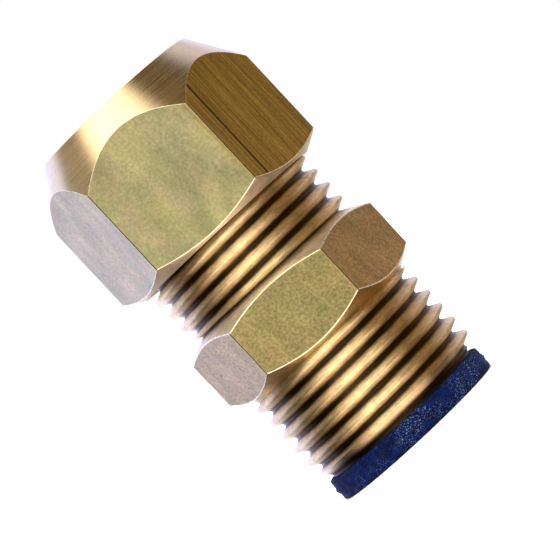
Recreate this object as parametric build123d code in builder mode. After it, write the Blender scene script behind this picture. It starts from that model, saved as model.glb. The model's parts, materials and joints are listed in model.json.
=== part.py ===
"""Brass compression adapter: a pipe is gripped under the nut, the other stub screws into a tapped port.

The adapter stands on its sealing washer, with the bore along +Z and the nut at the top.
The origin is the centre of the washer's lower face. All sizes are in millimetres and degrees.
"""

import os
from math import ceil, radians, tan

from build123d import *

# Half-inch parallel pipe thread, cut on both stubs and inside the nut
thread_major_diameter = 20.955
thread_pitch = 1.814
thread_flank_angle = 27.5
thread_flat_share = 1 / 6
thread_play = 0.15
thread_phase = 1.65
cutter_overrun = 0.12
cutter_turns = 2

# Plain pipe that the nut grips, and the room that each piece leaves around it
pipe_diameter = 15.0
socket_clearance = 0.10
ring_clearance = 0.05
nut_hole_clearance = 0.15
water_bore_diameter = 12.5

# Sealing washer and the spigot that carries it
washer_diameter = 19.8
washer_thickness = 2.5
washer_edge_bevel = 0.25
washer_bead_width = 0.9
washer_bead_stand = 0.20
washer_clearance = 0.05
spigot_wall = 1.05
spigot_length = 1.8

# Adapter body
port_stub_length = 10.18
pilot_length = 0.6
pilot_depth = 0.15
hex_sides = 6
hex_stand = 0.0225
hex_height = 9.06
hex_sink = 0.2
hex_port_chamfer = 35.0
hex_pipe_chamfer = 28.0
pipe_stub_length = 14.26
pipe_stub_bevel = 1.3
socket_depth = 11.5
mouth_lip = 0.6
seat_angle = 30.0

# Compression ring
ring_length = 7.5
ring_band_length = 2.4
ring_band_wall = 1.05
ring_end_wall = 0.35
seat_gap = 0.05

# Compression nut
nut_wall = 0.7725
nut_length = 16.6
nut_end_wall = 2.13
nut_taper_angle = 58.0
nut_taper_height = 2.75
nut_foot_chamfer = 30.0
nut_foot_height = 0.25
nut_set_angle = -1.8
nut_relief_length = 1.5
nut_relief_depth = 0.05
nut_mouth_bevel = 0.1
nut_shoulder_wall = 1.35

# Thread form, from a sharp triangle with its tip and root cut off by the same share
flank_slope = tan(radians(thread_flank_angle))
thread_flat = thread_pitch * thread_flat_share
thread_depth = (thread_pitch / 2 - thread_flat) / flank_slope
crest_radius = thread_major_diameter / 2
root_radius = crest_radius - thread_depth
hex_across_flats = thread_major_diameter + 2 * hex_stand
nut_across_flats = thread_major_diameter + 2 * (thread_play + nut_wall)
cutter_run = thread_pitch / 4
full_turn = 360

# Radii along the bore
socket_radius = pipe_diameter / 2 + socket_clearance
ring_bore_radius = pipe_diameter / 2 + ring_clearance
nut_hole_radius = pipe_diameter / 2 + nut_hole_clearance
water_radius = water_bore_diameter / 2
spigot_radius = water_radius + spigot_wall
ring_band_radius = ring_bore_radius + ring_band_wall
ring_end_radius = ring_bore_radius + ring_end_wall
mouth_radius = root_radius - mouth_lip

# Heights along the axis, from the washer's lower face
port_end = washer_thickness
hex_bottom = port_end + port_stub_length
hex_top = hex_bottom + hex_height
pipe_end = hex_top + pipe_stub_length
pipe_stop = pipe_end - socket_depth
seat_slope = tan(radians(seat_angle))
ring_bottom = pipe_end - (mouth_radius - ring_end_radius) / seat_slope + seat_gap
ring_top = ring_bottom + ring_length
nut_seat = ring_top + seat_gap
nut_hole_start = nut_seat + (ring_end_radius - nut_hole_radius) / seat_slope
nut_top = nut_hole_start + nut_end_wall
nut_bottom = nut_top - nut_length


def turned_hexagon(across_flats, bottom, top, foot_radius, foot_angle, head_radius, head_angle, turn=0):
    """Hexagon bar with both ends turned to cones, which cut the flats in arcs.

    Each cone starts at its radius on the end face and rises by its angle from that face.
    """
    flat_radius = across_flats / 2
    foot_height = across_flats * tan(radians(foot_angle))
    head_height = across_flats * tan(radians(head_angle))
    with BuildPart() as hexagon:
        with BuildSketch(Plane.XY.offset(bottom)):
            RegularPolygon(flat_radius, hex_sides, major_radius=False, rotation=turn)
        extrude(amount=top - bottom)
        with BuildSketch(Plane.XZ):
            with BuildLine():
                Polyline(
                    (0, bottom),
                    (foot_radius, bottom),
                    (foot_radius + across_flats, bottom + foot_height),
                    (foot_radius + across_flats, top + across_flats),
                    (0, top + across_flats),
                    close=True,
                )
            make_face()
        revolve(axis=Axis.Z, mode=Mode.INTERSECT)
        with BuildSketch(Plane.XZ):
            with BuildLine():
                Polyline(
                    (0, top),
                    (head_radius, top),
                    (head_radius + across_flats, top - head_height),
                    (head_radius + across_flats, bottom - across_flats),
                    (0, bottom - across_flats),
                    close=True,
                )
            make_face()
        revolve(axis=Axis.Z, mode=Mode.INTERSECT)
    return hexagon.part


def helical_cutters(inner_radius, inner_width, outer_radius, outer_width, low, high, phase):
    """Thread groove as solids: a trapezoid swept up a right-hand helix from low to high.

    The helix crosses the +X side at the phase height and at every pitch from it. The groove is made
    in lengths of about two turns, which join end to end and cut more reliably than one long coil.
    """
    count = ceil((high - low) / (cutter_turns * thread_pitch))
    length = (high - low) / count
    cutters = []
    for index in range(count):
        start = low + index * length
        with BuildPart() as cutter:
            with BuildLine() as path:
                Helix(thread_pitch, length, inner_radius, center=(0, 0, start))
            with BuildSketch(Plane.XZ):
                with BuildLine():
                    Polyline(
                        (inner_radius, start - inner_width / 2),
                        (outer_radius, start - outer_width / 2),
                        (outer_radius, start + outer_width / 2),
                        (inner_radius, start + inner_width / 2),
                        close=True,
                    )
                make_face()
            sweep(path=path.line, is_frenet=True)
        cutters.append(cutter.part.rotate(Axis.Z, full_turn * (start - phase) / thread_pitch))
    return cutters


def male_groove(low, high):
    """Groove between the ridges of an outside thread, wide at the crest and narrow at the root."""
    mouth_width = thread_pitch - thread_flat + 2 * cutter_overrun * flank_slope
    return helical_cutters(
        root_radius, thread_flat, crest_radius + cutter_overrun, mouth_width, low, high, thread_phase
    )


def female_groove(low, high):
    """Groove inside the nut that the outside ridge runs in, with play all round."""
    mouth_width = thread_pitch - thread_flat + 2 * cutter_overrun * flank_slope
    return helical_cutters(
        root_radius + thread_play - cutter_overrun,
        mouth_width,
        crest_radius + thread_play,
        thread_flat,
        low,
        high,
        thread_phase + thread_pitch / 2,
    )


# Adapter body: two threaded stubs on one bar, with a hexagon for the spanner between them
hex_end_radius = root_radius - hex_sink
body_hexagon = turned_hexagon(
    hex_across_flats,
    hex_bottom,
    hex_top,
    hex_end_radius,
    hex_port_chamfer,
    hex_end_radius,
    hex_pipe_chamfer,
)
port_groove = male_groove(port_end + pilot_length - cutter_run, hex_bottom + thread_pitch)
pipe_groove = male_groove(hex_top - thread_pitch, pipe_end + cutter_run)
pilot_radius = root_radius - pilot_depth
with BuildPart() as adapter_body:
    with BuildSketch(Plane.XZ):
        with BuildLine():
            Polyline(
                (0, port_end),
                (pilot_radius, port_end),
                (pilot_radius, port_end + pilot_length),
                (crest_radius, port_end + pilot_length + crest_radius - pilot_radius),
                (crest_radius, pipe_end - pipe_stub_bevel),
                (crest_radius - pipe_stub_bevel, pipe_end),
                (0, pipe_end),
                close=True,
            )
        make_face()
    revolve(axis=Axis.Z)
    for cutter in port_groove + pipe_groove:
        add(cutter, mode=Mode.SUBTRACT)
    add(body_hexagon)
    with BuildSketch(Plane.XY.offset(port_end)):
        Circle(spigot_radius)
    extrude(amount=-spigot_length)
    with BuildSketch(Plane.XZ):
        with BuildLine():
            Polyline(
                (0, port_end - spigot_length),
                (water_radius, port_end - spigot_length),
                (water_radius, pipe_stop),
                (socket_radius, pipe_stop),
                (socket_radius, pipe_end - (mouth_radius - socket_radius) / seat_slope),
                (mouth_radius, pipe_end),
                (0, pipe_end),
                close=True,
            )
        make_face()
    revolve(axis=Axis.Z, mode=Mode.SUBTRACT)
adapter_body.part.label = "adapter_body"

# Compression nut: a long hexagon tapered towards the pipe, tapped from below, with the ring's seat inside
nut_head_radius = nut_across_flats / 2 - nut_taper_height / tan(radians(nut_taper_angle))
nut_foot_radius = nut_across_flats / 2 - nut_foot_height / tan(radians(nut_foot_chamfer))
nut_hexagon = turned_hexagon(
    nut_across_flats,
    nut_bottom,
    nut_top,
    nut_foot_radius,
    nut_foot_chamfer,
    nut_head_radius,
    nut_taper_angle,
    nut_set_angle,
)
tapping_radius = root_radius + thread_play
relief_radius = crest_radius + thread_play + nut_relief_depth
mouth_bevel_radius = crest_radius + thread_play + nut_mouth_bevel
shoulder_radius = nut_hole_radius + nut_shoulder_wall
shoulder = nut_hole_start - nut_shoulder_wall / seat_slope
relief_start = shoulder - nut_relief_length
nut_groove = female_groove(nut_bottom - cutter_run, relief_start + nut_relief_length / 2)
with BuildPart() as compression_nut:
    add(nut_hexagon)
    with BuildSketch(Plane.XZ):
        with BuildLine():
            Polyline(
                (0, nut_bottom),
                (mouth_bevel_radius, nut_bottom),
                (tapping_radius, nut_bottom + mouth_bevel_radius - tapping_radius),
                (tapping_radius, relief_start),
                (relief_radius, relief_start),
                (relief_radius, shoulder),
                (shoulder_radius, shoulder),
                (nut_hole_radius, nut_hole_start),
                (nut_hole_radius, nut_top),
                (0, nut_top),
                close=True,
            )
        make_face()
    revolve(axis=Axis.Z, mode=Mode.SUBTRACT)
    for cutter in nut_groove:
        add(cutter, mode=Mode.SUBTRACT)
compression_nut.part.label = "compression_nut"

# Compression ring: a barrel-shaped olive whose thin ends the two seats press onto the pipe
ring_taper_length = (ring_length - ring_band_length) / 2
with BuildPart() as compression_ring:
    with BuildSketch(Plane.XZ):
        with BuildLine():
            Polyline(
                (ring_bore_radius, ring_bottom),
                (ring_end_radius, ring_bottom),
                (ring_band_radius, ring_bottom + ring_taper_length),
                (ring_band_radius, ring_top - ring_taper_length),
                (ring_end_radius, ring_top),
                (ring_bore_radius, ring_top),
                close=True,
            )
        make_face()
    revolve(axis=Axis.Z)
compression_ring.part.label = "compression_ring"

# Sealing washer: moulded rubber pushed over the spigot, with the mould's parting bead round its edge
washer_radius = washer_diameter / 2
washer_bore_radius = spigot_radius + washer_clearance
washer_middle = washer_thickness / 2
with BuildPart() as sealing_washer:
    with BuildSketch(Plane.XZ):
        with BuildLine():
            Polyline(
                (washer_bore_radius, 0),
                (washer_radius - washer_edge_bevel, 0),
                (washer_radius, washer_edge_bevel),
                (washer_radius, washer_middle - washer_bead_width / 2),
                (washer_radius + washer_bead_stand, washer_middle),
                (washer_radius, washer_middle + washer_bead_width / 2),
                (washer_radius, washer_thickness - washer_edge_bevel),
                (washer_radius - washer_edge_bevel, washer_thickness),
                (washer_bore_radius, washer_thickness),
                close=True,
            )
        make_face()
    revolve(axis=Axis.Z)
sealing_washer.part.label = "sealing_washer"

os.makedirs("parts", exist_ok=True)
for piece in (adapter_body, compression_nut, compression_ring, sealing_washer):
    export_step(piece.part, f"parts/{piece.part.label}.step")
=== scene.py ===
import json
from math import atan2, ceil, cos, floor, pi, radians, sin, sqrt, tan

import bpy
from mathutils import Matrix, Vector, noise


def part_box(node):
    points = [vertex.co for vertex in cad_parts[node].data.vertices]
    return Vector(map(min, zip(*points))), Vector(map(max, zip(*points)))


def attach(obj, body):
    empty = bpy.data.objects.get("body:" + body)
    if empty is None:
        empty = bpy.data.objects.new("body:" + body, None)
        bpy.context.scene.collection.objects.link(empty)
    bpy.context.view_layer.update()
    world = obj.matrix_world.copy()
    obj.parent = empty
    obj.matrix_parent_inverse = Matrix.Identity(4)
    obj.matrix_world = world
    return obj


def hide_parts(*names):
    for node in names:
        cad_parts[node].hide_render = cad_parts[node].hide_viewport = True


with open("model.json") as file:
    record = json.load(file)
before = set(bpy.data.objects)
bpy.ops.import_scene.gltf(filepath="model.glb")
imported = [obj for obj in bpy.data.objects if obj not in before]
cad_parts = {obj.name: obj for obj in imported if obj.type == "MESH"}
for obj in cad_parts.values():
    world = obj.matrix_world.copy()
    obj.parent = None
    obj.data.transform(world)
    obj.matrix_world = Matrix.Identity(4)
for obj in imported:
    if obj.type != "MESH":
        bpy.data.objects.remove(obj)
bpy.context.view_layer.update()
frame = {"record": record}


# Adapter body
# One bar of free-machining brass: the hexagon is the bar as drawn, and the rest is turned. Both stubs
# carry a half-inch parallel pipe thread of 55 degrees, cut with a die, with round crests and roots.
MM = 0.001
record = frame["record"]
mount_sizes = {mount["name"]: mount["dims"] for mount in record["mounts"]}
thread_pitch = record["behaviour"]["couplings"][0]["ratio"] * 2 * pi / MM
crest_radius = mount_sizes["male_thread"]["r_mm"]
socket_radius = mount_sizes["pipe_socket"]["r_mm"]
water_radius = mount_sizes["water_bore"]["r_mm"]
# The thread's form: half its angle, its rounding and depth as shares of the pitch, and where grooves begin
thread_half_angle = radians(27.5)
thread_round = 0.1373 * thread_pitch
thread_depth = 0.6403 * thread_pitch
root_radius = crest_radius - thread_depth
pipe_thread_phase = 1.65
port_thread_phase = 1.46
crest_steps = 6
flank_steps = 4
spare_pitches = 3

# Sizes are in millimetres, and heights are measured from the washer's lower face
body_low, body_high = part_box("adapter_body")
spigot_end = body_low[2] / MM
pipe_end = body_high[2] / MM
port_end = 2.5
pilot_length = 0.25
pilot_inset = 0.15
pilot_radius = root_radius - pilot_inset
spigot_radius = 7.3
hex_flat_radius = body_high[1] / MM
hex_bottom = 12.68
hex_top = 21.74
hex_end_inset = 0.2
hex_end_radius = root_radius - hex_end_inset
hex_port_slope = tan(radians(35.0))
hex_pipe_slope = tan(radians(28.0))
run_out_slope = 2.2
port_run_out = 0.3
pipe_run_out = 0.5
pipe_stop = 24.5
pipe_stub_bevel = 1.3
mouth_inset = 0.6
mouth_radius = root_radius - mouth_inset
mouth_slope = 1 / tan(radians(30.0))
# A rounded corner has one point more than its steps on the arc, and a support point on each side
edge_round = 0.18
edge_steps = 4
edge_support = 0.06
corner_points = edge_steps + 3
sharp_angle = radians(38)
hexagon_sides = 6
columns_on_flat = 24
columns_on_edge = 4
# Finishes by their place on the piece, and those of one side of a hexagon, column by column
TURNED, DRAWN, EDGE, THREAD, FACED, UPRIGHT = range(6)
hexagon_finish = [DRAWN] * (columns_on_flat + 2) + [UPRIGHT] * columns_on_edge


def upright_edge(flat_radius):
    """Where the rounding of an upright edge is centred, and half the angle that it takes up."""
    half_side = pi / hexagon_sides
    centre = (flat_radius - edge_round) / cos(half_side)
    half_angle = atan2(edge_round * sin(half_side), centre + edge_round * cos(half_side))
    return centre, half_angle


def around_hexagon(flat_radius, turn):
    """Angles of the mesh columns: close together round each of the hexagon's six edges."""
    edge_half = upright_edge(flat_radius)[1]
    flat_half = pi / hexagon_sides - edge_half
    support = edge_support / flat_radius
    angles = []
    for side in range(hexagon_sides):
        middle = turn - pi / 2 + side * 2 * pi / hexagon_sides
        angles.append(middle - flat_half)
        for column in range(columns_on_flat + 1):
            share = 2 * column / columns_on_flat - 1
            angles.append(middle + share * (flat_half - support))
        for column in range(columns_on_edge):
            angles.append(middle + flat_half + 2 * edge_half * column / columns_on_edge)
    return angles


def hexagon_radius(angle, flat_radius, turn):
    """Distance from the axis to a hexagon whose upright edges are slightly rounded."""
    side_angle = 2 * pi / hexagon_sides
    from_flat = (angle - turn + pi / 2 + side_angle / 2) % side_angle - side_angle / 2
    from_edge = side_angle / 2 - abs(from_flat)
    centre, edge_half = upright_edge(flat_radius)
    if from_edge >= edge_half:
        return flat_radius / cos(from_flat)
    return centre * cos(from_edge) + sqrt(edge_round ** 2 - (centre * sin(from_edge)) ** 2)


def soften(points, radius):
    """Round the corners of a section, with a support point on each side that keeps the faces flat."""
    softened = [points[0]]
    for before, corner, after in zip(points, points[1:], points[2:]):
        back = Vector(before) - Vector(corner)
        ahead = Vector(after) - Vector(corner)
        back.normalize()
        ahead.normalize()
        opening = back.angle(ahead)
        cut = radius / tan(opening / 2)
        centre = Vector(corner) + (back + ahead).normalized() * (radius / sin(opening / 2))
        start = Vector(corner) + back * cut - centre
        end = Vector(corner) + ahead * cut - centre
        softened.append(tuple(Vector(corner) + back * (cut + edge_support)))
        for step in range(edge_steps + 1):
            share = step / edge_steps
            spoke = start.lerp(end, share).normalized() * radius
            softened.append(tuple(centre + spoke))
        softened.append(tuple(Vector(corner) + ahead * (cut + edge_support)))
    softened.append(points[-1])
    return softened


def arc_ends(corner):
    """Places, in a softened section without its end points, where the arc of a corner begins and ends."""
    first = corner * corner_points + 1
    return first, first + edge_steps


def add_loops(verts, angles, section):
    """Turn a section round the axis: it may change with the angle, but not in its number of points."""
    columns = [section(angle) for angle in angles]
    loops = []
    for row in zip(*columns):
        first = len(verts)
        for angle, (radius, height) in zip(angles, row):
            verts.append((radius * cos(angle) * MM, radius * sin(angle) * MM, height * MM))
        loops.append(list(range(first, len(verts))))
    return loops


def join_loops(faces, finishes, loops, finish):
    """Close the strips between neighbouring loops, and note the finish of each face by its column."""
    for lower, upper in zip(loops, loops[1:]):
        count = len(lower)
        for place in range(count):
            beside = (place + 1) % count
            faces.append((lower[place], lower[beside], upper[beside], upper[place]))
            finishes.append(finish[place % len(finish)])


def thread_radius(angle, height, phase):
    """Radius of the thread: round root, straight flank, round crest."""
    share = ((height - phase) / thread_pitch - angle / (2 * pi)) % 1.0
    from_root = min(share, 1 - share) * thread_pitch
    from_crest = thread_pitch / 2 - from_root
    round_reach = thread_round * cos(thread_half_angle)
    if from_root < round_reach:
        return root_radius + thread_round - sqrt(thread_round ** 2 - from_root ** 2)
    if from_crest < round_reach:
        return crest_radius - thread_round + sqrt(thread_round ** 2 - from_crest ** 2)
    middle = (root_radius + crest_radius) / 2
    return middle + (from_root - thread_pitch / 4) / tan(thread_half_angle)


def thread_rows():
    """Heights of the mesh rows within one pitch, from the groove up: dense on the round root and crest."""
    round_reach = thread_round * cos(thread_half_angle)
    flank = thread_pitch / 2 - 2 * round_reach
    rows = []
    for centre in (0, thread_pitch / 2):
        for step in range(crest_steps + 1):
            rows.append(centre - round_reach + 2 * round_reach * step / crest_steps)
        for step in range(1, flank_steps):
            rows.append(centre + round_reach + flank * step / flank_steps)
    return rows


def add_thread(verts, faces, finishes, angles, low, high, phase, radius_at, inside=False):
    """Threaded wall whose mesh rows climb with the helix, closed to a level loop at each end."""
    rows_in_pitch = thread_rows()
    first_pitch = floor((low - phase) / thread_pitch) - spare_pitches
    last_pitch = ceil((high - phase) / thread_pitch) + spare_pitches
    rows = []
    for pitch in range(first_pitch, last_pitch):
        for row in rows_in_pitch:
            rows.append(phase + pitch * thread_pitch + row)
    low_loop = add_loops(verts, angles, lambda angle: [(radius_at(angle, low), low)])[0]
    high_loop = add_loops(verts, angles, lambda angle: [(radius_at(angle, high), high)])[0]
    columns = []
    for place, angle in enumerate(angles):
        column = []
        for row in rows:
            height = row + thread_pitch * angle / (2 * pi)
            if height <= low:
                column.append(low_loop[place])
            elif height >= high:
                column.append(high_loop[place])
            else:
                radius = radius_at(angle, height)
                column.append(len(verts))
                verts.append((radius * cos(angle) * MM, radius * sin(angle) * MM, height * MM))
        columns.append(column)
    columns.append(columns[0][len(rows_in_pitch):])
    for left, right in zip(columns, columns[1:]):
        for row in range(len(right) - 1):
            corners = (left[row], right[row], right[row + 1], left[row + 1])
            face = list(dict.fromkeys(corners))
            if len(face) > 2:
                faces.append(tuple(reversed(face)) if inside else tuple(face))
                finishes.append(THREAD)
    return low_loop, high_loop


def make_mesh(name, verts, faces, finishes):
    """Mesh object from its points and faces, smooth but for edges that are sharp on the real piece."""
    mesh = bpy.data.meshes.new(name)
    mesh.from_pydata(verts, [], faces)
    mesh.polygons.foreach_set("material_index", finishes)
    mesh.shade_smooth()
    mesh.set_sharp_from_angle(angle=sharp_angle)
    piece = bpy.data.objects.new(name, mesh)
    bpy.context.scene.collection.objects.link(piece)
    return piece


# Undercuts: the rings where each thread's steep run-out meets the hexagon's cone
port_undercut_rise = crest_radius - hex_end_radius + run_out_slope * port_run_out
port_undercut = hex_bottom + port_undercut_rise / (run_out_slope + 1 / hex_port_slope)
port_undercut_radius = hex_end_radius + (port_undercut - hex_bottom) / hex_port_slope
pipe_undercut_drop = crest_radius - hex_end_radius - run_out_slope * pipe_run_out
pipe_undercut = hex_top - pipe_undercut_drop / (run_out_slope + 1 / hex_pipe_slope)
pipe_undercut_radius = hex_end_radius + (hex_top - pipe_undercut) / hex_pipe_slope


def port_thread_radius(angle, height):
    """Lower thread: bevelled down to the pilot at the free end, and running out on the hexagon's cone."""
    bevel = pilot_radius + max(0, height - port_end - pilot_length)
    cone = hex_end_radius + (height - hex_bottom) / hex_port_slope
    run_out = crest_radius - run_out_slope * max(0, height - hex_bottom - port_run_out)
    return max(min(thread_radius(angle, height, port_thread_phase), bevel, run_out), cone)


def pipe_thread_radius(angle, height):
    """Upper thread: running out on the hexagon's cone, and bevelled at the mouth."""
    bevel = crest_radius - max(0, height - pipe_end + pipe_stub_bevel)
    cone = hex_end_radius + (hex_top - height) / hex_pipe_slope
    run_out = crest_radius - run_out_slope * max(0, hex_top + pipe_run_out - height)
    return max(min(thread_radius(angle, height, pipe_thread_phase), bevel, run_out), cone)


def hexagon_section(angle):
    """Hexagon from the lower cone over the flat to the upper cone, at one angle."""
    radius = hexagon_radius(angle, hex_flat_radius, 0)
    lower_edge = hex_bottom + (radius - hex_end_radius) * hex_port_slope
    upper_edge = hex_top - (radius - hex_end_radius) * hex_pipe_slope
    corners = [
        (port_undercut_radius, port_undercut),
        (radius, lower_edge),
        (radius, upper_edge),
        (pipe_undercut_radius, pipe_undercut),
    ]
    return soften(corners, edge_round)[1:-1]


body_verts = []
body_faces = []
body_finishes = []
body_angles = around_hexagon(hex_flat_radius, 0)
port_foot, port_head = add_thread(
    body_verts, body_faces, body_finishes, body_angles, port_end, port_undercut,
    port_thread_phase, port_thread_radius,
)
pipe_foot, pipe_head = add_thread(
    body_verts, body_faces, body_finishes, body_angles, pipe_undercut, pipe_end,
    pipe_thread_phase, pipe_thread_radius,
)
hexagon_loops = add_loops(body_verts, body_angles, hexagon_section)
lower_first, lower_last = arc_ends(0)
upper_first, upper_last = arc_ends(1)
join_loops(body_faces, body_finishes, [port_head] + hexagon_loops[: lower_first + 1], [TURNED])
join_loops(body_faces, body_finishes, hexagon_loops[lower_first : lower_last + 1], [EDGE])
join_loops(body_faces, body_finishes, hexagon_loops[lower_last : upper_first + 1], hexagon_finish)
join_loops(body_faces, body_finishes, hexagon_loops[upper_first : upper_last + 1], [EDGE])
join_loops(body_faces, body_finishes, hexagon_loops[upper_last:] + [pipe_foot], [FACED])
bore_section = soften(
    [
        (pipe_thread_radius(0, pipe_end), pipe_end),
        (mouth_radius, pipe_end),
        (socket_radius, pipe_end - (mouth_radius - socket_radius) * mouth_slope),
        (socket_radius, pipe_stop),
        (water_radius, pipe_stop),
        (water_radius, spigot_end),
        (spigot_radius, spigot_end),
        (spigot_radius, port_end),
        (pilot_radius, port_end),
    ],
    edge_round,
)
bore_loops = add_loops(body_verts, body_angles, lambda angle: bore_section[1:-1])
join_loops(body_faces, body_finishes, [pipe_head] + bore_loops + [port_foot], [TURNED])
adapter_body = make_mesh("adapter_body_turned", body_verts, body_faces, body_finishes)


def linear(hex_colour):
    """Linear colour from an sRGB hex value, by the standard's own curve."""
    toe_end, toe_slope, offset, power = 0.04045, 12.92, 0.055, 2.4
    colour = []
    for place in (1, 3, 5):
        channel = int(hex_colour[place : place + 2], 16) / 255
        curved = ((channel + offset) / (1 + offset)) ** power
        colour.append(channel / toe_slope if channel <= toe_end else curved)
    return colour + [1.0]


def add_node(tree, kind, values=None, links=None, **settings):
    """Add one node, choose its settings, fill its sockets and link what feeds it."""
    node = tree.nodes.new(kind)
    for setting, choice in settings.items():
        setattr(node, setting, choice)
    for socket, value in (values or {}).items():
        node.inputs[socket].default_value = value
    for socket, source in (links or {}).items():
        tree.links.new(source, node.inputs[socket])
    return node


def new_material(name):
    """Empty material with its tree, its output and the object's own coordinates in millimetres."""
    material = bpy.data.materials.new(name)
    material.use_nodes = True
    tree = material.node_tree
    tree.nodes.clear()
    output = add_node(tree, "ShaderNodeOutputMaterial")
    place = add_node(tree, "ShaderNodeTexCoord")
    scale = add_node(
        tree,
        "ShaderNodeVectorMath",
        {1: (1 / MM, 1 / MM, 1 / MM)},
        {0: place.outputs["Object"]},
        operation="MULTIPLY",
    )
    return material, tree, output, scale.outputs["Vector"]


# Places of the colour sockets on a Mix node
MIX_FIRST, MIX_SECOND, MIX_RESULT = 6, 7, 2
# Sizes of the patterns in millimetres. Turning rings and drawing lines are really about 0.03 apart and the
# pits of the skin about 0.05 across. Both are too fine to show, so they are drawn coarser.
turning_grain = (6.0, 6.0, 0.12)
die_grain = (1.2, 1.2, 0.12)
bar_grain = (0.2, 0.2, 8.0)
sand_size = 0.2778
line_height = 0.02
line_bump = 0.2
noise_low, noise_high = 0.3, 0.7
cloud_stretch = 2.0
tint_share = 0.4
# Size and depth of the pools of oil and painted shade in the thread grooves
oil_and_shade_pool_size = 4.0
oil_and_shade_pool_depth = 0.5
quarter_turn = 0.25


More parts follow.
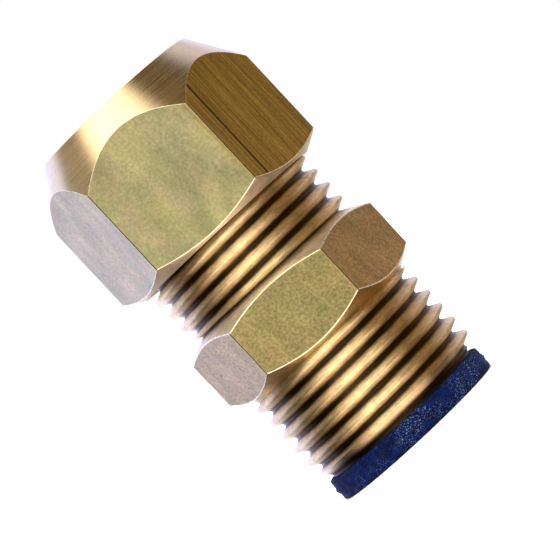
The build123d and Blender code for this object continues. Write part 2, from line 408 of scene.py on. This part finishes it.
def brass(
    name, colour, cloud_size, cloud_depth, grain, line_depth, sand_depth, roughness,
    stretch=0.0, shaded_scored_side=None, groove_oil_and_shade=None,
):
    """Brass with a grain along the bar or round the axis, clouds of thin oxide, sand-fine pits, oil and
    painted shade.
    """
    material, tree, output, place = new_material(name)

    # Clouds of oxide, which change the tone and, less, the tint
    cloud_place = add_node(
        tree,
        "ShaderNodeVectorMath",
        {1: (1 / cloud_size, 1 / cloud_size, 1 / (cloud_stretch * cloud_size))},
        {0: place},
        operation="MULTIPLY",
    )
    clouds = add_node(
        tree,
        "ShaderNodeTexNoise",
        {"Scale": 1.0, "Detail": 3.0},
        {"Vector": cloud_place.outputs["Vector"]},
    )
    cloud_tone = add_node(
        tree,
        "ShaderNodeMath",
        {1: cloud_depth, 2: 1 - cloud_depth / 2},
        {0: clouds.outputs["Fac"]},
        operation="MULTIPLY_ADD",
    )
    cloud_tint = add_node(
        tree,
        "ShaderNodeVectorMath",
        {1: [cloud_depth * tint_share] * 3, 2: [1 - cloud_depth * tint_share / 2] * 3},
        {0: clouds.outputs["Color"]},
        operation="MULTIPLY_ADD",
    )
    clouded = add_node(
        tree,
        "ShaderNodeVectorMath",
        None,
        {0: cloud_tint.outputs["Vector"], 1: cloud_tone.outputs["Value"]},
        operation="MULTIPLY",
    )
    tinted = add_node(
        tree,
        "ShaderNodeVectorMath",
        {1: linear(colour)[:3]},
        {0: clouded.outputs["Vector"]},
        operation="MULTIPLY",
    )
    oxide_and_shade_colour = tinted.outputs["Vector"]

    # Lines of the grain, lighter and darker about the middle tone
    grain_place = add_node(
        tree,
        "ShaderNodeVectorMath",
        {1: [1 / size for size in grain]},
        {0: place},
        operation="MULTIPLY",
    )
    lines = add_node(
        tree,
        "ShaderNodeTexNoise",
        {"Scale": 1.0, "Detail": 4.0},
        {"Vector": grain_place.outputs["Vector"]},
    )
    line_swing = add_node(
        tree,
        "ShaderNodeMath",
        {1: 2.0, 2: -1.0},
        {0: lines.outputs["Fac"]},
        operation="MULTIPLY_ADD",
    )
    line_tone = add_node(
        tree,
        "ShaderNodeMath",
        {1: line_depth, 2: 1.0},
        {0: line_swing.outputs["Value"]},
        operation="MULTIPLY_ADD",
    )

    # A side painted browner as shade, with deeper lines and one score along the bar
    if shaded_scored_side:
        sideways = add_node(tree, "ShaderNodeSeparateXYZ", None, {"Vector": place})
        side_share = add_node(
            tree,
            "ShaderNodeMapRange",
            {"From Min": shaded_scored_side["start"], "From Max": shaded_scored_side["end"]},
            {"Value": sideways.outputs["X"]},
        )
        side_depth = add_node(
            tree,
            "ShaderNodeMapRange",
            {"To Min": line_depth, "To Max": shaded_scored_side["line_depth"]},
            {"Value": side_share.outputs["Result"]},
        )
        tree.links.new(side_depth.outputs["Result"], line_tone.inputs[1])
        side_shaded = add_node(
            tree,
            "ShaderNodeMix",
            {MIX_SECOND: linear(shaded_scored_side["colour"])},
            {"Factor": side_share.outputs["Result"], MIX_FIRST: oxide_and_shade_colour},
            data_type="RGBA",
        )
        oxide_and_shade_colour = side_shaded.outputs[MIX_RESULT]
        score = add_node(
            tree,
            "ShaderNodeMath",
            {1: shaded_scored_side["score_place"], 2: shaded_scored_side["score_width"] / 2},
            {0: sideways.outputs["X"]},
            operation="COMPARE",
        )
        score_tone = add_node(
            tree,
            "ShaderNodeMath",
            {1: -shaded_scored_side["score_depth"], 2: 1.0},
            {0: score.outputs["Value"]},
            operation="MULTIPLY_ADD",
        )
        line_tone = add_node(
            tree,
            "ShaderNodeMath",
            None,
            {0: line_tone.outputs["Value"], 1: score_tone.outputs["Value"]},
            operation="MULTIPLY",
        )
    lined = add_node(
        tree,
        "ShaderNodeVectorMath",
        None,
        {0: oxide_and_shade_colour, 1: line_tone.outputs["Value"]},
        operation="MULTIPLY",
    )

    # Pits as fine as sand
    sand = add_node(
        tree, "ShaderNodeTexNoise", {"Scale": 1 / sand_size, "Detail": 2.0}, {"Vector": place}
    )
    sand_tone = add_node(
        tree,
        "ShaderNodeMath",
        {1: 2 * sand_depth, 2: 1 - sand_depth},
        {0: sand.outputs["Fac"]},
        operation="MULTIPLY_ADD",
    )
    sandy = add_node(
        tree,
        "ShaderNodeVectorMath",
        None,
        {0: lined.outputs["Vector"], 1: sand_tone.outputs["Value"]},
        operation="MULTIPLY",
    )
    surface_colour = sandy.outputs["Vector"]

    # Old oil and painted shade that fill the grooves to a level, higher in some places than in others
    if groove_oil_and_shade:
        level_place = add_node(
            tree, "ShaderNodeVectorMath", {1: (1, 1, 0)}, {0: place}, operation="MULTIPLY"
        )
        from_axis = add_node(
            tree, "ShaderNodeVectorMath", None, {0: level_place.outputs["Vector"]}, operation="LENGTH"
        )
        oil_and_shade_pools = add_node(
            tree, "ShaderNodeTexNoise", {"Scale": 1 / oil_and_shade_pool_size, "Detail": 3.0}, {"Vector": place}
        )
        oil_and_shade_level = add_node(
            tree,
            "ShaderNodeMath",
            {1: -oil_and_shade_pool_depth},
            {0: oil_and_shade_pools.outputs["Fac"], 2: from_axis.outputs["Value"]},
            operation="MULTIPLY_ADD",
        )
        oil_and_shade_depth = add_node(
            tree,
            "ShaderNodeMapRange",
            {
                "From Min": groove_oil_and_shade["undarkened_radius"] - oil_and_shade_pool_depth / 2,
                "From Max": groove_oil_and_shade["darkest_radius"] - oil_and_shade_pool_depth / 2,
                "To Max": groove_oil_and_shade["share"],
            },
            {"Value": oil_and_shade_level.outputs["Value"]},
            interpolation_type="SMOOTHSTEP",
        )
        oiled_and_shaded = add_node(
            tree,
            "ShaderNodeMix",
            {MIX_SECOND: linear(groove_oil_and_shade["colour"])},
            {"Factor": oil_and_shade_depth.outputs["Result"], MIX_FIRST: surface_colour},
            data_type="RGBA",
        )
        surface_colour = oiled_and_shaded.outputs[MIX_RESULT]

    # Gloss that is drawn out across the grain
    rough = add_node(
        tree,
        "ShaderNodeMapRange",
        {
            "From Min": noise_low,
            "From Max": noise_high,
            "To Min": roughness[0],
            "To Max": roughness[1],
        },
        {"Value": lines.outputs["Fac"]},
    )
    bump = add_node(
        tree,
        "ShaderNodeBump",
        {"Strength": line_bump, "Distance": line_height * MM},
        {"Height": lines.outputs["Fac"]},
    )
    tangent = add_node(tree, "ShaderNodeTangent", direction_type="RADIAL", axis="Z")
    shader = add_node(
        tree,
        "ShaderNodeBsdfPrincipled",
        {"Metallic": 1.0, "Anisotropic": stretch, "Anisotropic Rotation": quarter_turn},
        {
            "Base Color": surface_colour,
            "Roughness": rough.outputs["Result"],
            "Normal": bump.outputs["Normal"],
            "Tangent": tangent.outputs["Tangent"],
        },
    )
    tree.links.new(shader.outputs["BSDF"], output.inputs["Surface"])
    return material


# Turned faces and the lower cone: rings round the axis stretch each reflection along the slope
turned_brass = brass(
    "turned_brass", "#E0CCA6", cloud_size=2.5, cloud_depth=0.4, grain=turning_grain,
    line_depth=0.16, sand_depth=0.1, roughness=(0.25, 0.33), stretch=0.5,
)
# Flats: the skin that the drawing die left, sandy and clouded by tarnish
body_drawn_brass = brass(
    "drawn_brass_body", "#B29B6E", cloud_size=1.8, cloud_depth=0.7, grain=bar_grain,
    line_depth=0.1, sand_depth=0.7, roughness=(0.3, 0.4),
)
# Edges: burnished by handling and painted paler as a highlight, so they draw a pale line round each face
highlight_edge_brass = brass(
    "burnished_highlight_brass_edge", "#F0E2BE", cloud_size=0.5, cloud_depth=0.9, grain=bar_grain,
    line_depth=0.1, sand_depth=0.5, roughness=(0.3, 0.4),
)
# Upright edges: the bar's own corners, which the die left smooth and narrow
upright_brass = brass(
    "drawn_brass_edge", "#C9B68C", cloud_size=0.5, cloud_depth=0.5, grain=bar_grain,
    line_depth=0.1, sand_depth=0.3, roughness=(0.14, 0.22),
)
# Threads: cut with a die, a little torn on the crests, brown with old oil and painted shade in the grooves,
# and painted shadow on the pilot above the washer
thread_brass = brass(
    "die_cut_brass", "#F4DDB0", cloud_size=1.2, cloud_depth=0.6, grain=die_grain,
    line_depth=0.35, sand_depth=0.25, roughness=(0.44, 0.56), stretch=0.8,
    groove_oil_and_shade=dict(darkest_radius=9.33, undarkened_radius=9.92, share=0.95, colour="#3A2206"),
)
# Upper cone and the nut's foot: faced with a wide sharp tool, matt, and painted paler than the rest as a
# highlight
faced_highlight_brass = brass(
    "faced_highlight_brass", "#F6EBD8", cloud_size=1.4, cloud_depth=0.6, grain=turning_grain,
    line_depth=0.2, sand_depth=0.1, roughness=(0.46, 0.58), stretch=0.3,
)
for finish in (turned_brass, body_drawn_brass, highlight_edge_brass, thread_brass, faced_highlight_brass, upright_brass):
    adapter_body.data.materials.append(finish)
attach(adapter_body, "adapter")
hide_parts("adapter_body")


# Sealing washer
# Blue moulded rubber pushed over the spigot. Its edge bulges a little and carries the mould's parting bead.
# The edge is rough and torn in places, and the whole washer is dusty with pale filler.
washer_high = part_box("sealing_washer")[1]
washer_thickness = washer_high[2] / MM
washer_radius = 9.9
washer_bead = washer_high[0] / MM - washer_radius
washer_bore_radius = 7.35
washer_round = 0.3
washer_columns = 240
washer_rows = 22
bead_half_width = 0.4
# The wall's waves and tears: their depths in millimetres, and how close together they come
wall_wave = 0.05
wall_tear = 0.025
tear_circle = 6.0
tear_climb = 1.4
flash_detail, wave_detail, tear_detail = 1.7, 2.3, 6.1
flash_mean, flash_swing = 0.6, 0.8
MOULDED = 0
washer_verts = []
washer_faces = []
washer_finishes = []
washer_angles = [2 * pi * place / washer_columns for place in range(washer_columns)]


def washer_section(angle):
    """Section of the washer at one angle, with an outer wall that is uneven like torn flash."""
    corner_rise = washer_round / washer_thickness
    section = [(washer_bore_radius, 0)]
    for row in range(washer_rows + 1):
        share = row / washer_rows
        height = share * washer_thickness
        from_middle = height - washer_thickness / 2
        near_end = max(0, 1 - min(share, 1 - share) / corner_rise)
        radius = washer_radius - washer_round * (1 - sqrt(max(0, 1 - near_end ** 2)))
        bead = washer_bead * max(0, 1 - abs(from_middle) / bead_half_width)
        spot = Vector((cos(angle) * tear_circle, sin(angle) * tear_circle, height * tear_climb))
        flash = flash_mean + flash_swing * noise.noise(spot * flash_detail)
        wave = wall_wave * noise.noise(spot * wave_detail)
        tear = wall_tear * noise.noise(spot * tear_detail)
        uneven = bead * max(0, min(1, flash)) + wave + tear - wall_wave / 2
        section.append((radius + uneven, height))
    section.append((washer_bore_radius, washer_thickness))
    return section


washer_loops = add_loops(washer_verts, washer_angles, washer_section)
join_loops(washer_faces, washer_finishes, washer_loops + washer_loops[:1], [MOULDED])
sealing_washer = make_mesh("sealing_washer_moulded", washer_verts, washer_faces, washer_finishes)
# Sizes of the patterns in millimetres. Grains of filler are really about 0.05 across, too fine to show,
# so they are drawn coarser.
wear_size = 0.625
speck_size = 0.125
dust_patch_size = 3.0
# Noise values between which the wear, the specks and the dusty patches come up, and how dusty those get
wear_from, wear_to = 0.35, 0.7
speck_from, speck_to = 0.55, 0.75
patch_from, patch_to = 0.42, 0.68
least_dust, most_dust = 0.05, 0.75
speck_height = 0.06
speck_bump = 0.4
rubber_roughness = 0.75
rubber_ior = 1.5
rubber_specular = 0.1


def moulded_rubber(name, dark, blue, dust):
    """Filled rubber: dark blue with paler wear, pin-sized specks of filler and a dull, pitted skin."""
    material, tree, output, place = new_material(name)
    wear = add_node(
        tree, "ShaderNodeTexNoise", {"Scale": 1 / wear_size, "Detail": 5.0}, {"Vector": place}
    )
    wear_share = add_node(
        tree,
        "ShaderNodeMapRange",
        {"From Min": wear_from, "From Max": wear_to},
        {"Value": wear.outputs["Fac"]},
    )
    worn = add_node(
        tree,
        "ShaderNodeMix",
        {MIX_FIRST: linear(dark), MIX_SECOND: linear(blue)},
        {"Factor": wear_share.outputs["Result"]},
        data_type="RGBA",
    )
    specks = add_node(
        tree, "ShaderNodeTexNoise", {"Scale": 1 / speck_size, "Detail": 2.0}, {"Vector": place}
    )
    patches = add_node(
        tree, "ShaderNodeTexNoise", {"Scale": 1 / dust_patch_size, "Detail": 2.0}, {"Vector": place}
    )
    patch_depth = add_node(
        tree,
        "ShaderNodeMapRange",
        {"From Min": patch_from, "From Max": patch_to, "To Min": least_dust, "To Max": most_dust},
        {"Value": patches.outputs["Fac"]},
    )
    speck_share = add_node(
        tree,
        "ShaderNodeMapRange",
        {"From Min": speck_from, "From Max": speck_to},
        {"Value": specks.outputs["Fac"], "To Max": patch_depth.outputs["Result"]},
    )
    dusty = add_node(
        tree,
        "ShaderNodeMix",
        {MIX_SECOND: linear(dust)},
        {"Factor": speck_share.outputs["Result"], MIX_FIRST: worn.outputs[MIX_RESULT]},
        data_type="RGBA",
    )
    bump = add_node(
        tree,
        "ShaderNodeBump",
        {"Strength": speck_bump, "Distance": speck_height * MM},
        {"Height": specks.outputs["Fac"]},
    )
    shader = add_node(
        tree,
        "ShaderNodeBsdfPrincipled",
        {"Roughness": rubber_roughness, "IOR": rubber_ior, "Specular IOR Level": rubber_specular},
        {"Base Color": dusty.outputs[MIX_RESULT], "Normal": bump.outputs["Normal"]},
    )
    tree.links.new(shader.outputs["BSDF"], output.inputs["Surface"])
    return material


# Filled rubber from a mould: a dull dark blue skin with pale specks where filler and dust lie on it
washer_rubber = moulded_rubber("moulded_rubber_blue", "#00082A", "#001B5A", "#8FAAEA")
sealing_washer.data.materials.append(washer_rubber)
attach(sealing_washer, "adapter")
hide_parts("sealing_washer")


# Compression ring
# The olive: a small turned brass barrel that lies loose between the body's mouth and the nut's seat.
# Tightening presses its thin ends onto the pipe.
ring_low, ring_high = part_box("compression_ring")
ring_bottom = ring_low[2] / MM
ring_top = ring_high[2] / MM
ring_band_radius = ring_high[0] / MM
ring_bore_radius = 7.55
ring_end_radius = 7.9
ring_band_length = 2.4
ring_round = 0.08
ring_columns = 180
ring_verts = []
ring_faces = []
ring_finishes = []
ring_angles = [2 * pi * place / ring_columns for place in range(ring_columns)]
ring_middle = (ring_bottom + ring_top) / 2
ring_wall_middle = (ring_bore_radius + ring_end_radius) / 2
ring_section = soften(
    [
        (ring_wall_middle, ring_bottom),
        (ring_end_radius, ring_bottom),
        (ring_band_radius, ring_middle - ring_band_length / 2),
        (ring_band_radius, ring_middle + ring_band_length / 2),
        (ring_end_radius, ring_top),
        (ring_bore_radius, ring_top),
        (ring_bore_radius, ring_bottom),
        (ring_wall_middle, ring_bottom),
    ],
    ring_round,
)
ring_loops = add_loops(ring_verts, ring_angles, lambda angle: ring_section[:-1])
join_loops(ring_faces, ring_finishes, ring_loops + ring_loops[:1], [TURNED])
compression_ring = make_mesh("compression_ring_turned", ring_verts, ring_faces, ring_finishes)
compression_ring.data.materials.append(turned_brass)
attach(compression_ring, "ring")
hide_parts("compression_ring")


# Compression nut
# Long hexagon nut cut from drawn brass bar. Its upper end is turned to a steep cone towards the pipe,
# its foot has a flat bevel, and inside are the thread, a relief and the seat that presses on the ring.
nut_low, nut_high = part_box("compression_nut")
nut_bottom = nut_low[2] / MM
nut_top = nut_high[2] / MM
nut_turn = radians(-1.8)
nut_flat_radius = 11.4
nut_taper_slope = tan(radians(58.0))
nut_taper_height = 2.75
nut_head_radius = nut_flat_radius - nut_taper_height / nut_taper_slope
nut_foot_slope = tan(radians(30.0))
nut_foot_height = 0.25
nut_foot_radius = nut_flat_radius - nut_foot_height / nut_foot_slope
thread_play = 0.15
nut_mouth_room = 0.1
nut_mouth_radius = crest_radius + thread_play + nut_mouth_room
nut_relief_room = 0.05
nut_relief_radius = crest_radius + thread_play + nut_relief_room
nut_relief_length = 1.5
nut_hole_radius = 7.65
nut_hole_length = 2.13
nut_seat_width = 1.35
nut_shoulder_radius = nut_hole_radius + nut_seat_width
nut_hole_start = nut_top - nut_hole_length
nut_shoulder = nut_hole_start - (nut_shoulder_radius - nut_hole_radius) * mouth_slope
nut_relief_start = nut_shoulder - nut_relief_length
nut_edge_round = 0.15


def nut_thread_radius(angle, height):
    """Inside thread: the outside thread plus its play, opened to a bevel at the mouth."""
    wall = thread_radius(angle, height, pipe_thread_phase) + thread_play
    return max(wall, nut_mouth_radius - (height - nut_bottom))


def nut_outer_section(angle):
    """Nut at one angle, from the foot over the bevel, flat, cone and top face to the seat and the relief."""
    radius = hexagon_radius(angle, nut_flat_radius, nut_turn)
    lower_edge = nut_bottom + (radius - nut_foot_radius) * nut_foot_slope
    upper_edge = nut_top - (radius - nut_head_radius) * nut_taper_slope
    corners = [
        (nut_mouth_radius, nut_bottom),
        (nut_foot_radius, nut_bottom),
        (radius, lower_edge),
        (radius, upper_edge),
        (nut_head_radius, nut_top),
        (nut_hole_radius, nut_top),
        (nut_hole_radius, nut_hole_start),
        (nut_shoulder_radius, nut_shoulder),
        (nut_relief_radius, nut_shoulder),
        (nut_relief_radius, nut_relief_start),
    ]
    return soften(corners, nut_edge_round)[1:-1]


nut_verts = []
nut_faces = []
nut_finishes = []
nut_angles = around_hexagon(nut_flat_radius, nut_turn)
nut_foot, nut_head = add_thread(
    nut_verts, nut_faces, nut_finishes, nut_angles, nut_bottom, nut_relief_start,
    pipe_thread_phase, nut_thread_radius, inside=True,
)
nut_loops = add_loops(nut_verts, nut_angles, nut_outer_section)
lower_first, lower_last = arc_ends(1)
upper_first, upper_last = arc_ends(2)
join_loops(nut_faces, nut_finishes, [nut_foot] + nut_loops[: lower_first + 1], [FACED])
join_loops(nut_faces, nut_finishes, nut_loops[lower_first : lower_last + 1], [EDGE])
join_loops(nut_faces, nut_finishes, nut_loops[lower_last : upper_first + 1], hexagon_finish)
join_loops(nut_faces, nut_finishes, nut_loops[upper_first : upper_last + 1], [EDGE])
join_loops(nut_faces, nut_finishes, nut_loops[upper_last:] + [nut_head], [TURNED])
compression_nut = make_mesh("compression_nut_hexagon", nut_verts, nut_faces, nut_finishes)
# Flats: drawn bar again, smoother than the body's, with lines along the bar and wide clouds of tarnish
nut_drawn_brass = brass(
    "drawn_brass_nut", "#BBAB84", cloud_size=2.4, cloud_depth=0.9, grain=bar_grain,
    line_depth=0.16, sand_depth=0.4, roughness=(0.28, 0.38),
    # Towards +x the flats are painted browner as shade, with deeper lines and one score along the bar
    shaded_scored_side=dict(
        start=5.4, end=6.6, line_depth=1.2, colour="#AC9048",
        score_place=7.34, score_width=0.16, score_depth=0.75,
    ),
)
for finish in (turned_brass, nut_drawn_brass, highlight_edge_brass, thread_brass, faced_highlight_brass, upright_brass):
    compression_nut.data.materials.append(finish)
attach(compression_nut, "nut")
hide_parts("compression_nut")


# Camera
# Level with the adapter and square to its axis, rolled so that the nut points to the upper left.
# It stands far off with a long lens, so the adapter's two ends look alike in size.
camera_azimuth = radians(4.7)
camera_roll = radians(43.0)
camera_distance = 320 * MM
camera_height = 20.6 * MM
camera_offset = 0.25 * MM
nearest_seen = 10 * MM
view_width = 56 * MM
towards_camera = Vector((sin(camera_azimuth), -cos(camera_azimuth), 0))
level_right = Vector((cos(camera_azimuth), sin(camera_azimuth), 0))
upward = Vector((0, 0, 1))
camera_right = level_right * cos(camera_roll) - upward * sin(camera_roll)
camera_up = level_right * sin(camera_roll) + upward * cos(camera_roll)
camera_place = upward * camera_height + towards_camera * camera_distance + level_right * camera_offset
camera_data = bpy.data.cameras.new("camera")
camera_data.lens = camera_data.sensor_width * camera_distance / view_width
camera_data.clip_start = nearest_seen
camera = bpy.data.objects.new("camera", camera_data)
camera_axes = Matrix((camera_right, camera_up, towards_camera)).transposed()
camera.matrix_world = Matrix.Translation(camera_place) @ camera_axes.to_4x4()
bpy.context.scene.collection.objects.link(camera)
bpy.context.scene.camera = camera
bpy.context.scene.view_settings.view_transform = "Standard"


# Floor
# A wide sheet of matt white paper under the adapter, which stands on its washer.
# The metal doesn't mirror it, so that the studio's cards alone shape the reflections.
floor_half = 2.0
paper_patch_size = 5.0
paper_roughness = (0.85, 0.95)
paper_specular = 0.1
floor_mesh = bpy.data.meshes.new("floor")
floor_corners = [(-floor_half, -floor_half, 0), (floor_half, -floor_half, 0)]
floor_corners += [(floor_half, floor_half, 0), (-floor_half, floor_half, 0)]
floor_mesh.from_pydata(floor_corners, [], [(0, 1, 2, 3)])
floor_sheet = bpy.data.objects.new("floor", floor_mesh)
bpy.context.scene.collection.objects.link(floor_sheet)
# Uncoated paper: dull white. Its fibres are too fine to show, so its sheen varies in wider patches
paper, paper_tree, paper_output, paper_place = new_material("matt_white_paper")
paper_fibres = add_node(
    paper_tree,
    "ShaderNodeTexNoise",
    {"Scale": 1 / paper_patch_size, "Detail": 4.0},
    {"Vector": paper_place},
)
paper_rough = add_node(
    paper_tree,
    "ShaderNodeMapRange",
    {"To Min": paper_roughness[0], "To Max": paper_roughness[1]},
    {"Value": paper_fibres.outputs["Fac"]},
)
paper_shader = add_node(
    paper_tree,
    "ShaderNodeBsdfPrincipled",
    {"Base Color": linear("#F6F6F6"), "Specular IOR Level": paper_specular},
    {"Roughness": paper_rough.outputs["Result"]},
)
paper_tree.links.new(paper_shader.outputs["BSDF"], paper_output.inputs["Surface"])
floor_mesh.materials.append(paper)
floor_sheet.visible_glossy = False


# Studio
# Soft cards stand round the adapter: each is a direction, a width and a tint. The metal shows them as
# broad bands. The camera itself sees plain white behind the adapter.
studio_base = (0.05, 0.035, 0.015)
# Name, degrees right of the camera, elevation, half width, half width with its faded border, light
studio_cards = [
    ("front", -6, 12, 14, 44, (0.98, 1.06, 0.88)),
    ("front_right", 62, 26, 8, 28, (0.6, 0.35, 0.12)),
    ("left_window", -140, 4, 26, 42, (1.07, 1.16, 1.92)),
    ("left_high", -112, 40, 10, 30, (0.38, 0.33, 0.28)),
    ("behind", 180, 0, 14, 36, (0.5, 0.5, 0.78)),
    ("behind_low", 180, -26, 14, 34, (0.65, 0.58, 0.35)),
    ("right_dim", 105, 4, 10, 40, (0.21, 0.16, 0.05)),
    ("right_corner", 147, 28, 16, 36, (0.76, 0.75, 1.0)),
    ("right_low", 113, -20, 6, 27, (0.87, 0.66, 0.74)),
    ("overhead", -22, 62, 14, 36, (3.0, 2.65, 2.25)),
    ("overhead_back", 180, 60, 12, 30, (2.8, 2.5, 1.6)),
    ("below", -10, -62, 24, 44, (3.3, 2.5, 2.15)),
]
studio = bpy.data.worlds.new("studio")
bpy.context.scene.world = studio
studio.use_nodes = True
studio_tree = studio.node_tree
studio_tree.nodes.clear()
studio_output = add_node(studio_tree, "ShaderNodeOutputWorld")
studio_place = add_node(studio_tree, "ShaderNodeTexCoord")
light_so_far = None
for card, angle, elevation, width, fade, card_light in studio_cards:
    level = towards_camera * cos(radians(angle)) + level_right * sin(radians(angle))
    direction = level * cos(radians(elevation)) + upward * sin(radians(elevation))
    facing = add_node(
        studio_tree,
        "ShaderNodeVectorMath",
        {1: direction},
        {0: studio_place.outputs["Generated"]},
        operation="DOT_PRODUCT",
    )
    share = add_node(
        studio_tree,
        "ShaderNodeMapRange",
        {"From Min": cos(radians(fade)), "From Max": cos(radians(width))},
        {"Value": facing.outputs["Value"]},
        interpolation_type="SMOOTHSTEP",
    )
    # The first card adds its light to the base, and each other card to the cards before it
    card_links = {0: share.outputs["Result"]}
    if light_so_far:
        card_links[2] = light_so_far.outputs["Vector"]
    light_so_far = add_node(
        studio_tree,
        "ShaderNodeVectorMath",
        {1: card_light, 2: studio_base},
        card_links,
        operation="MULTIPLY_ADD",
        label=card,
    )
studio_light = add_node(
    studio_tree, "ShaderNodeBackground", None, {"Color": light_so_far.outputs["Vector"]}
)
plain_white = add_node(studio_tree, "ShaderNodeBackground", {"Color": linear("#FFFFFF")})
seen_by = add_node(studio_tree, "ShaderNodeLightPath")
studio_mix = add_node(
    studio_tree,
    "ShaderNodeMixShader",
    None,
    {0: seen_by.outputs["Is Camera Ray"], 1: studio_light.outputs[0], 2: plain_white.outputs[0]},
)
studio_tree.links.new(studio_mix.outputs[0], studio_output.inputs["Surface"])

# Ceiling: a wide soft light from straight above that whitens the floor and stays out of the reflections
ceiling_strength = 3.6
ceiling_spread = radians(90)
ceiling_height = 1.0
ceiling_data = bpy.data.lights.new("ceiling", "SUN")
ceiling_data.energy = ceiling_strength
ceiling_data.angle = ceiling_spread
ceiling = bpy.data.objects.new("ceiling", ceiling_data)
ceiling.location = (0, 0, ceiling_height)
ceiling.visible_glossy = False
bpy.context.scene.collection.objects.link(ceiling)
